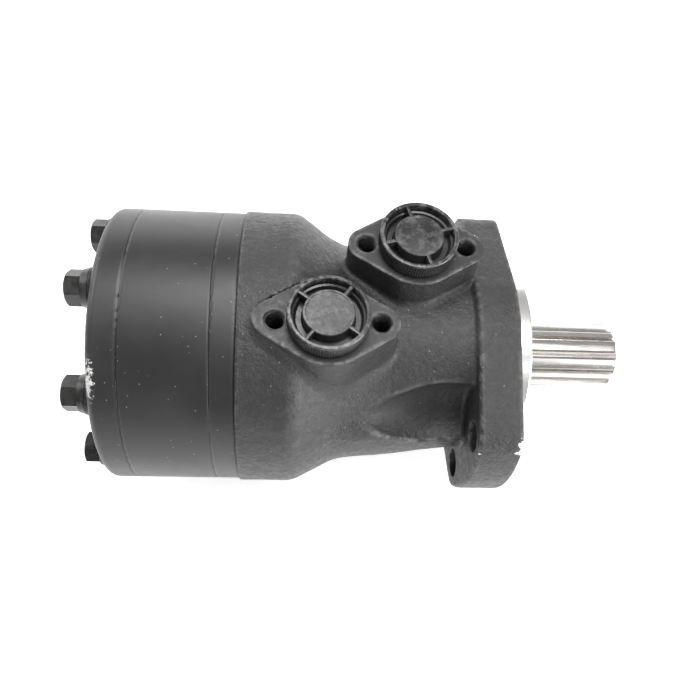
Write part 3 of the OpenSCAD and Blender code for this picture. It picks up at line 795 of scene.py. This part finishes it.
def housing_piece():
    """The casting with its machined faces, bores and threads."""
    def pad_reach(x, y):
        return np.minimum(pad_outline(x, y, PORT_A), pad_outline(x, y, PORT_B))

    def cast_share(points):
        x, y, z = points.T
        shell = np.abs(casting(x, y, z)) < 0.12
        faced = (z > PORT_Z - 0.25) & (pad_reach(x, y) < 1.7)
        return np.where(shell & ~faced & (x < -0.4) & (x > HOUSING_REAR + 0.3), 1.0, 0.0)

    def soft_share(points):
        """cast_share that fades out before a machined face, so that the relief leaves no step."""
        x, y, z = points.T
        near_pad = np.clip(np.maximum(PORT_Z - z, pad_reach(x, y) - 1.5) / 1.5, 0, 1)
        near_front = np.clip((-0.3 - x) / 1.5, 0, 1)
        near_rear = np.clip((x - HOUSING_REAR) / 1.5, 0, 1)
        near_cut = np.clip(housing_cuts(x, y, z) / 1.2, 0, 1)
        return near_pad * near_front * near_rear * near_cut

    low = (HOUSING_REAR, -FLANGE_END_R, -DRUM_R)
    high = (PILOT_END, FLANGE_END_R, DRUM_R + 0.5)
    piece, rest = field_object("housing_casting", housing_field, low, high, 1.05, CAST_PAINT,
                               soft_share, cast_relief)
    x, y, z = rest.T
    rho = np.hypot(y, z)
    add_attribute(piece, "cast", cast_share(rest))
    in_bore = (rho < POCKET_R + 0.4) | (housing_cuts(x, y, z) < 0.1) & (x < HOUSING_REAR + 0.5)
    off_port = np.minimum(np.hypot(x - PORT_A[0], y - PORT_A[1]), np.hypot(x - PORT_B[0], y - PORT_B[1]))
    in_thread = (z > PORT_FLOOR) & (z < PORT_Z - 0.8) & (off_port < PORT_THREAD_R + 0.5)
    add_attribute(piece, "bare", (x > 0.35) | in_bore | in_thread)
    add_attribute(piece, "wear", edge_wear(housing_field, rest))
    chips = np.zeros(len(rest))
    for place, reach in CHIPS:
        chips = np.maximum(chips, np.exp(-(np.linalg.norm(rest - place, axis=1) / reach) ** 2))
    add_attribute(piece, "chips", chips)
    sleeves = []
    for centre in (PORT_A, PORT_B):
        for side in (-1, 1):
            place = (centre[0] + side * PAD_HALF, centre[1], PORT_Z)
            sleeves.append(thread_sleeve(place, SCREW_CORE_R, SCREW_CORE_R + 0.65, 1.25, SCREW_DEPTH))
        sleeves.append(thread_sleeve(centre, PORT_THREAD_R - 0.6, PORT_THREAD_R - 0.05, 1.81, PORT_DEPTH))
    threads = shade_by_angle(join("housing_threads", sleeves, BLACK_STEEL), 60)
    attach(threads, "housing")
    return place_piece(piece, "housing", "cast_paint", "housing")


def section_piece(name, field, x0, x1, node):
    """One of the three turned sections behind the housing."""
    low = (x0, -SECTION_R, -SECTION_R)
    high = (x1, SECTION_R, SECTION_R)
    piece, rest = field_object(name, field, low, high, 1.15, SECTION_PAINT)
    add_attribute(piece, "wear", edge_wear(field, rest, 0.8))
    x, y, z = rest.T
    turn = np.degrees(np.arctan2(-y, z))
    scuff = np.exp(-((turn - 40) / 11) ** 2 - ((x - CAP_REAR - 1.5) / 3.2) ** 2)
    add_attribute(piece, "scuff", scuff if node == "end_cap" else np.zeros(len(rest)))
    return place_piece(piece, "housing", "section_paint", node)


def hexagon(flats, angles):
    """Radius of a hexagon, flats apart, at each angle."""
    return flats / 2 / np.cos((angles + TAU / 12) % (TAU / 6) - TAU / 12)


def bolts_piece():
    """Flanged hexagon screws: a chamfered head on a coned flange, and the shank through the sections."""
    flats, shank_r, seat = 13.0, 4.0, WASHER_REAR
    rings = [(BOLT_REAR + 0.45, 3.6, ""), (BOLT_REAR + 0.25, 4.1, ""), (BOLT_REAR, 4.5, "")]
    rings += [(BOLT_REAR, 5.6, "head"), (BOLT_REAR + 0.1, 6.1, "head")]
    rings += [(BOLT_REAR + 0.1 + 0.15 * k, 6.1 + 0.26 * k, "head") for k in range(1, 7)]
    rings += [(BOLT_REAR + 2.2, 9, "head"), (BOLT_REAR + 6.2, 9, "head"), (BOLT_REAR + 6.5, 9, "head")]
    rings += [(BOLT_REAR + 6.7, 7.7, ""), (BOLT_REAR + 7.4, 8.0, "")]
    rings += [(seat - 1.1, 8.35, ""), (seat - 0.9, 8.5, ""), (seat - 0.25, 8.6, ""), (seat, 8.35, "")]
    rings += [(seat, shank_r, ""), (BOLT_TIP - 1, shank_r, ""), (BOLT_TIP, 3.2, "")]

    def radius(place, nominal, tag, angles):
        return np.minimum(hexagon(flats, angles), nominal) if tag == "head" else nominal

    skins = []
    for k in range(BOLTS):
        vertices, faces = loft(rings, 72, radius)
        turned = turn_about_x(vertices, RNG.uniform(0, TAU))
        turned[:, 2] += BOLT_PCR
        skins.append((turn_about_x(turned, k * TAU / BOLTS), faces))
    piece = shade_by_angle(join("end_cap_screws", skins, BLACK_STEEL), 30)
    return place_piece(piece, "housing", "black_steel", "end_cap_bolts")


def washers_piece():
    """Sealing washers under the screw heads."""
    x0, x1, inner_r, outer_r = WASHER_REAR, CAP_REAR, 4.5, 9.0
    segments = 64
    rings = [(x1, inner_r, ""), (x1, outer_r - 0.2, ""), (x1 - 0.2, outer_r, ""), (x0 + 0.4, outer_r, "")]
    rings += [(x0 + 0.1, 8.9, ""), (x0, 8.7, ""), (x0, inner_r, "")]
    skins = []
    for k in range(BOLTS):
        vertices, faces = loft(rings, segments, plain)
        faces = open_tube(faces, len(rings), segments)
        vertices[:, 2] += BOLT_PCR
        skins.append((turn_about_x(vertices, k * TAU / BOLTS), faces))
    piece = shade_by_angle(join("screw_washers", skins, BLACK_STEEL), 40)
    return place_piece(piece, "housing", "black_steel", "bolt_washers")


def shaft_piece():
    """Spool, journal and 14-tooth output spline, with the hollow for the drive link."""
    teeth = 14
    tip_r, root_r = 15.61, 13.45
    spline_start = 12.0
    land_r, land_half = 22.5, 5.5
    hub_teeth, hub_r, hub_rear, hub_front, hollow_r = 12, 14.0, -54.0, -29.0, 15.5

    def tooth(place, angles):
        """Radius of the spline: rounded lands and roots, and roots that rise where the hob ran out."""
        wave = np.abs((angles * teeth / TAU + 0.5) % 1 - 0.5) * 2
        depth = np.clip((wave - 0.40) / 0.22, 0, 1)
        depth = depth * depth * (3 - 2 * depth)
        run_out = np.clip((place - PILOT_END - 1.5) / (spline_start - PILOT_END), 0, 1)
        run_out = math.sin(run_out * math.pi / 2)
        return tip_r - (tip_r - root_r) * depth * run_out

    def radius(place, nominal, tag, angles):
        if tag == "spline":
            return np.minimum(tooth(place, angles), nominal)
        if tag == "hub":
            return hub_r - 2.0 + 2.0 * (np.cos(angles * hub_teeth) > 0.1)
        return nominal

    front = BEARING_FRONT - BEARING_T
    rings = [(SHAFT_END - 22, 0.6, ""), (SHAFT_END - 20.5, SHAFT_TAP_R, "")]
    rings += [(SHAFT_END - 1.6, SHAFT_TAP_R, "")]
    rings += [(SHAFT_END - 0.05, SHAFT_TAP_R + 1.55, ""), (SHAFT_END, SHAFT_TAP_R + 1.7, "")]
    rings += [(SHAFT_END, 13.2, "spline"), (SHAFT_END - 0.12, 13.5, "spline")]
    rings += [(SHAFT_END - 0.3 * k, 13.5 + 0.37 * k, "spline") for k in range(1, 6)]
    rings += [(SHAFT_END - 2.0, 15.65, "spline"), (SHAFT_END - 2.6, 16, "spline")]
    for place in np.linspace(SHAFT_END - 6, spline_start + 2, 8):
        rings.append((place, 16, "spline"))
    for place in np.linspace(spline_start + 1, PILOT_END + 1, 14):
        rings.append((place, 16, "spline"))
    rings += [(PILOT_END + 0.2, JOURNAL_R - 0.3, ""), (PILOT_END - 0.4, JOURNAL_R, ""), (front, JOURNAL_R, "")]
    rings += [(front, SPOOL_R - 0.4, ""), (front - 0.4, SPOOL_R, "")]
    for centre in (PORT_B, PORT_A):
        rings += [(centre[0] + land_half, SPOOL_R, ""), (centre[0] + land_half, land_r, "")]
        rings += [(centre[0] - land_half, land_r, ""), (centre[0] - land_half, SPOOL_R, "")]
    rings += [(SPOOL_REAR + 0.4, SPOOL_R, ""), (SPOOL_REAR, SPOOL_R - 0.4, "")]
    rings += [(SPOOL_REAR, hollow_r + 0.3, ""), (SPOOL_REAR + 0.3, hollow_r, ""), (hub_rear, hollow_r, "")]
    rings += [(hub_rear, hub_r, "hub"), (hub_front, hub_r, "hub"), (hub_front, 0.6, "")]
    vertices, faces = loft(rings, teeth * 24, radius)
    piece = shade_by_angle(make_object("splined_shaft", vertices, faces, SHAFT_STEEL), 34)
    # painted shade in the spline roots: how deep each point lies between the teeth
    depth = (tip_r - np.hypot(vertices[:, 1], vertices[:, 2])) / (tip_r - root_r)
    add_attribute(piece, "root", np.where(vertices[:, 0] > PILOT_END, np.clip(depth * 1.2, 0, 1), 0))
    return place_piece(piece, "output_shaft", "shaft_steel", "output_shaft")


def plug_piece(name, centre, body, node, turn):
    """A threaded shipping plug: knurled cup with a raised middle disc and four ribs."""
    cap_r, height, wall, disc_r = 16.0, 8.0, 1.7, 10.0
    thread_r, pitch, neck_r, foot = 11.0, 1.81, 10.2, -13
    knurls, ribs = 96, 4
    base = 0.35
    rings = [(foot, 6.0, ""), (foot, neck_r, ""), (-12.2, thread_r, "thread"), (-12.0, thread_r, "thread")]
    rings += [(place, thread_r, "thread") for place in np.linspace(-11.8, -3.2, 40)]
    rings += [(-3.0, neck_r, ""), (base + 0.3, neck_r, ""), (base, thread_r, ""), (base, cap_r - 0.7, "")]
    rings += [(base + 0.15, cap_r - 0.35, ""), (base + 0.5, cap_r - 0.12, "knurl"), (1.2, cap_r, "knurl")]
    rings += [(place, cap_r, "knurl") for place in (2.5, 4.0, 5.5, height - 1.3)]
    rings += [(height - 0.8, cap_r, ""), (height - 0.4, cap_r - 0.06, ""), (height - 0.1, cap_r - 0.3, "")]
    rings += [(height, cap_r - 0.6, ""), (height, cap_r - wall + 0.3, ""), (height - 0.25, cap_r - wall, "")]
    rings += [(4.2, cap_r - wall - 0.15, ""), (3.9, cap_r - wall - 0.9, ""), (3.4, cap_r - wall - 1.2, "")]
    rings += [(2.3, cap_r - wall - 1.4, ""), (2.0, cap_r - wall - 1.8, ""), (2.0, disc_r + 0.6, "")]
    rings += [(2.3, disc_r + 0.25, ""), (height - 1.2, disc_r, ""), (height - 0.75, disc_r - 0.12, "")]
    rings += [(height - 0.55, disc_r - 0.45, ""), (height - 0.55, disc_r - 1.0, "")]
    rings += [(height - 0.72, disc_r - 1.3, ""), (height - 0.75, disc_r - 3, "")]
    rings += [(height - 0.8, 4, ""), (height - 0.8, 0.4, "")]

    def radius(place, nominal, tag, angles):
        if tag == "knurl":
            return nominal - 0.32 * np.abs(np.sin(angles * knurls / 2)) ** 1.5
        if tag == "thread":
            wave = (place / pitch - angles / TAU) % 1
            return nominal - 1.0 * (1 - np.abs(2 * wave - 1))
        return nominal

    skins = [loft(rings, knurls * 4, radius)]
    for k in range(ribs):
        skins.append(rib(disc_r - 0.8, cap_r - wall + 0.4, 0.75, 1.6, height - 0.65, turn + k * TAU / ribs))
    skins = [stand_up(skin, centre) for skin in skins]
    piece = join(name, skins, PLUG_PLASTIC)
    tops = np.array([v.co.z for v in piece.data.vertices]) / MM - centre[2]
    add_attribute(piece, "wear", np.clip((tops - height + 1.2) / 0.9, 0, 1))
    shade_by_angle(piece, 28)
    return place_piece(piece, body, "plug_plastic", node)


def rib(r0, r1, half_width, low, high, angle):
    """A radial rib with rounded top edges, as a skin along X."""
    profile = [(low, -half_width), (high - 0.3, -half_width), (high - 0.08, -half_width + 0.1)]
    profile += [(high, -half_width + 0.32), (high, half_width - 0.32), (high - 0.08, half_width - 0.1)]
    profile += [(high - 0.3, half_width), (low, half_width)]
    vertices = np.array([(place, r, across) for r in (r0, r1) for place, across in profile])
    count = len(profile)
    faces = [(k, (k + 1) % count, count + (k + 1) % count, count + k) for k in range(count)]
    faces += [tuple(range(count - 1, -1, -1)), tuple(range(count, 2 * count))]
    return turn_about_x(vertices, angle), faces


def carried_over(names, material, bevel_mm=0.0):
    """Gives CAD nodes that stay as they are their material, and breaks their sharp edges."""
    for name in names:
        node = NODES[name]
        node.data.materials.clear()
        node.data.materials.append(material)
        if bevel_mm:
            bevel = node.modifiers.new("edge_break", "BEVEL")
            bevel.width = bevel_mm * MM
            bevel.segments = 2
            bevel.limit_method = "ANGLE"
            bevel.angle_limit = math.radians(35)
            bevel.harden_normals = True


housing_piece()
section_piece("plate_disc", ring_field(PLATE_REAR, HOUSING_REAR, plate_cuts, 0.4),
              PLATE_REAR, HOUSING_REAR, "distributor_plate")
section_piece("ring_gear_body", ring_field(RING_REAR, PLATE_REAR, ring_gear_cuts, 0.4),
              RING_REAR, PLATE_REAR, "ring_gear")
section_piece("end_cover", cap_field, CAP_REAR, RING_REAR, "end_cap")
bolts_piece()
washers_piece()
shaft_piece()
plug_piece("plug_cup_a", PORT_A, "port_plug_a", "port_plug_a", math.radians(53))
plug_piece("plug_cup_b", PORT_B, "port_plug_b", "port_plug_b", math.radians(17))

carried_over(["drive_link", "link_spacer", "rotor"] + [f"roller_{k}" for k in range(1, 8)], GEAR_STEEL, 0.2)
carried_over(["thrust_race_front", "thrust_race_rear", "thrust_needles", "garter_spring"], BEARING_STEEL)
carried_over(["check_ball_a", "check_ball_b"], BEARING_STEEL)
carried_over(["drain_plug"], BEARING_STEEL, 0.35)
carried_over(["housing_seal", "plate_seal", "end_cap_seal", "plug_seal_a", "plug_seal_b"], SEAL_RUBBER)
carried_over(["shaft_seal", "dust_seal"], SEAL_RUBBER, 0.15)
carried_over(["seal_backup_ring"], PTFE, 0.1)
carried_over(["needle_cage", "drain_washer"], BRASS, 0.1)


# ---------- studio ----------

def floor():
    """A plain white floor at the motor's lowest point."""
    z = cad_bounds[0][2]
    half = 3.0
    mesh = bpy.data.meshes.new("floor")
    corners = [(-half, -half, z), (half, -half, z), (half, half, z), (-half, half, z)]
    mesh.from_pydata(corners, [], [(0, 1, 2, 3)])
    plane = bpy.data.objects.new("floor", mesh)
    bpy.context.scene.collection.objects.link(plane)
    s = Shader("floor_white")
    s.finish(Base_Color=grey(0.9), Roughness=0.9, Emission_Color=grey(1.0), Emission_Strength=0.5)
    s.surface.inputs["Specular IOR Level"].default_value = 0.0
    mesh.materials.append(s.material)
    plane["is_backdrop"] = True


def softbox(name, place, aim, size, power):
    data = bpy.data.lights.new(name, "AREA")
    data.shape = "RECTANGLE"
    data.size, data.size_y = size
    data.energy = power
    lamp = bpy.data.objects.new(name, data)
    bpy.context.scene.collection.objects.link(lamp)
    lamp.location = place
    lamp.rotation_euler = (Vector(aim) - Vector(place)).to_track_quat("-Z", "Y").to_euler()


def studio():
    middle = (-0.06, 0.0, 0.0)
    softbox("overhead", (0.0, 0.05, 0.75), middle, (0.75, 0.30), 7.4)
    softbox("backdrop", (-0.06, 1.1, 0.12), middle, (2.6, 0.7), 11)
    softbox("left", (-0.85, 0.35, 0.55), middle, (0.5, 0.5), 4)
    softbox("right", (0.9, -0.6, 0.10), middle, (0.6, 0.45), 15)
    softbox("front_right", (0.50, -0.55, 0.55), middle, (0.4, 0.4), 1.2)
    world = bpy.data.worlds.new("studio")
    world.use_nodes = True
    world.node_tree.nodes["Background"].inputs["Color"].default_value = grey(1.0)
    world.node_tree.nodes["Background"].inputs["Strength"].default_value = 0.52
    bpy.context.scene.world = world
    bpy.context.scene.view_settings.view_transform = "Standard"


def camera():
    """The camera's place, aim and roll at the viewing angle that the object was fitted to."""
    place = Vector((-93.857, -140.783, 289.328)) * MM
    aim = Vector((-70.238, -10.443, 20.0)) * MM
    roll = math.radians(10.8266)
    data = bpy.data.cameras.new("camera")
    data.sensor_width = 36
    data.lens = 34.756
    data.clip_start = 0.01
    eye = bpy.data.objects.new("camera", data)
    bpy.context.scene.collection.objects.link(eye)
    eye.location = place
    forward = (aim - place).normalized()
    level = forward.cross(Vector((0, 0, 1))).normalized()
    rise = level.cross(forward)
    right = level * math.cos(roll) + rise * math.sin(roll)
    up = rise * math.cos(roll) - level * math.sin(roll)
    eye.rotation_euler = Matrix((right, up, -forward)).transposed().to_euler()
    bpy.context.scene.camera = eye


camera()
floor()
studio()

boxes = {"cad": cad_bounds, "visual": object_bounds()}
{key: [list(corner) for corner in box] for key, box in boxes.items()}
